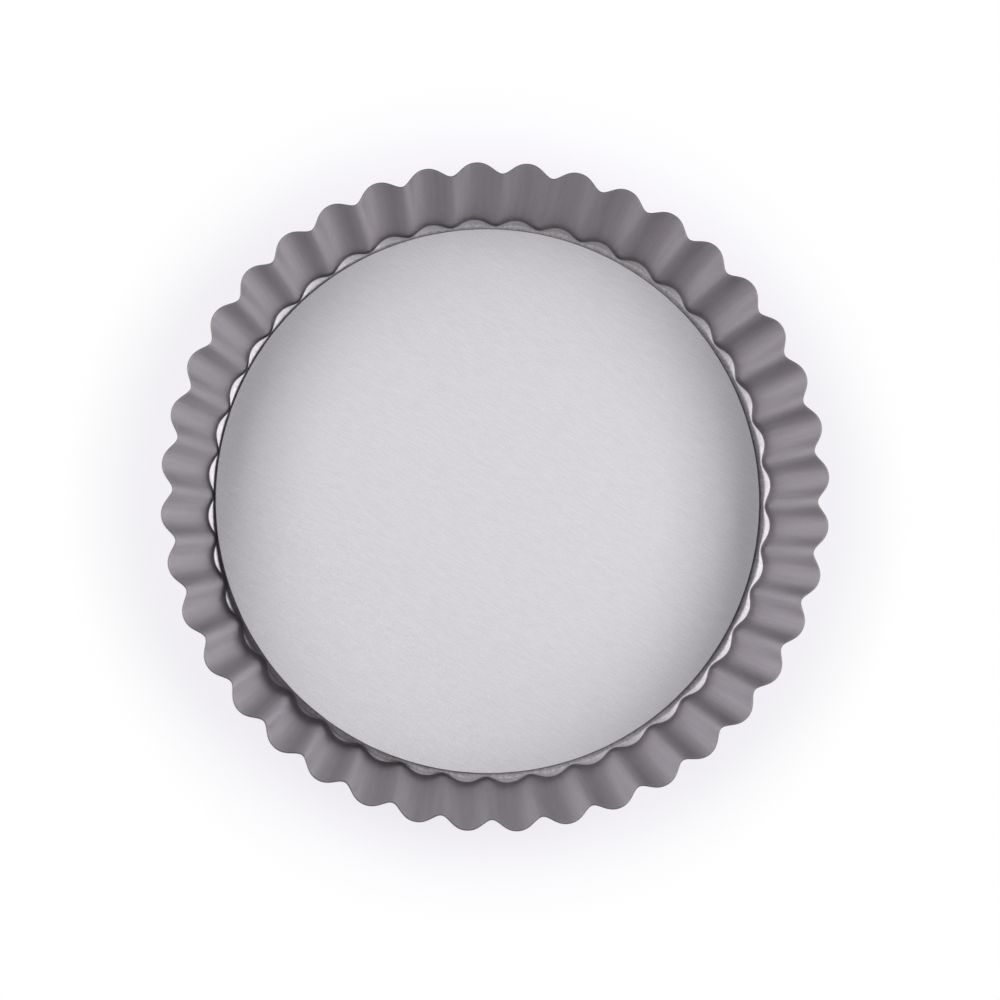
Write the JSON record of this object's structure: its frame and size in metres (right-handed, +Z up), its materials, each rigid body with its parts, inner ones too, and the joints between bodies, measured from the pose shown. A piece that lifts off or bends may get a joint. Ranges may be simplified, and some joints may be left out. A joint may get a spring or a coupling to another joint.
{
  "type": "loose-bottom baking pan",
  "caption": "Round fluted tart pan: a flared sheet-metal ring with an inward ledge, and a loose flat base that lies on the ledge and lifts out so the bake can be unmoulded.",
  "frame": {"origin": "on the table under the centre of the ring", "axes": "+Z up along the ring's axis, +X through the middle of an outward flute, +Y through the middle of another a quarter turn on"},
  "size_m": [0.25, 0.25, 0.035],
  "materials": {
    "ring_coating": "satin silver-grey non-stick coating on drawn sheet steel, darker on the steep wall, cut edge left bare at the rim",
    "base_coating": "satin silver-grey non-stick coating on flat sheet steel, paler than on the wall"
  },
  "bodies": {
    "ring": {"fluted_ring": "ring_coating"},
    "base": {"loose_base": "base_coating"}
  },
  "joints": [
    {"name": "base_lift", "type": "slide", "parent": "ring", "child": "base", "axis": [0, 0, 1], "range_m": [0, 0.06]}
  ]
}
